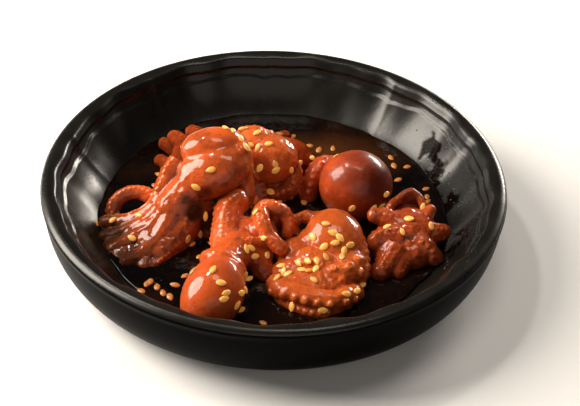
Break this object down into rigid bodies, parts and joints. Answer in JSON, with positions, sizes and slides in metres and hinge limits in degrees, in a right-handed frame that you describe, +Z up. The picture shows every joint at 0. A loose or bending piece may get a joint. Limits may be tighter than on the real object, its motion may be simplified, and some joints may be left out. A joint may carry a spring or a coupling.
{
  "type": "dish of seasoned baby octopus",
  "caption": "Round black dish of glossy baby octopus in dark marinade with sesame seeds.",
  "frame": {"origin": "middle of the dish's footprint, at the height of the table it stands on", "axes": "+Z up; +X to the right and +Y away from the viewer in the picture's view"},
  "size_m": [0.16, 0.1596, 0.0388],
  "materials": {
    "dish": "black satin glaze with soft highlights",
    "marinade": "wet, dark brown-red",
    "octopus_front": "wet, cooked orange-red flesh with sesame seeds",
    "octopus_wide": "wet, cooked orange-red flesh with sesame seeds",
    "octopus_tall": "wet, cooked orange-red flesh with sesame seeds",
    "octopus_round": "wet, cooked orange-red flesh with sesame seeds",
    "octopus_star": "wet, cooked orange-red flesh with sesame seeds",
    "octopus_back": "wet, cooked orange-red flesh with sesame seeds",
    "octopus_hidden": "wet, cooked orange-red flesh with sesame seeds",
    "octopus_far": "wet, cooked orange-red flesh with sesame seeds"
  },
  "bodies": {
    "root": {"dish": "dish", "marinade": "marinade", "octopus_front": "octopus_front", "octopus_wide": "octopus_wide", "octopus_tall": "octopus_tall", "octopus_round": "octopus_round", "octopus_star": "octopus_star", "octopus_back": "octopus_back", "octopus_hidden": "octopus_hidden", "octopus_far": "octopus_far"}
  },
  "joints": []
}
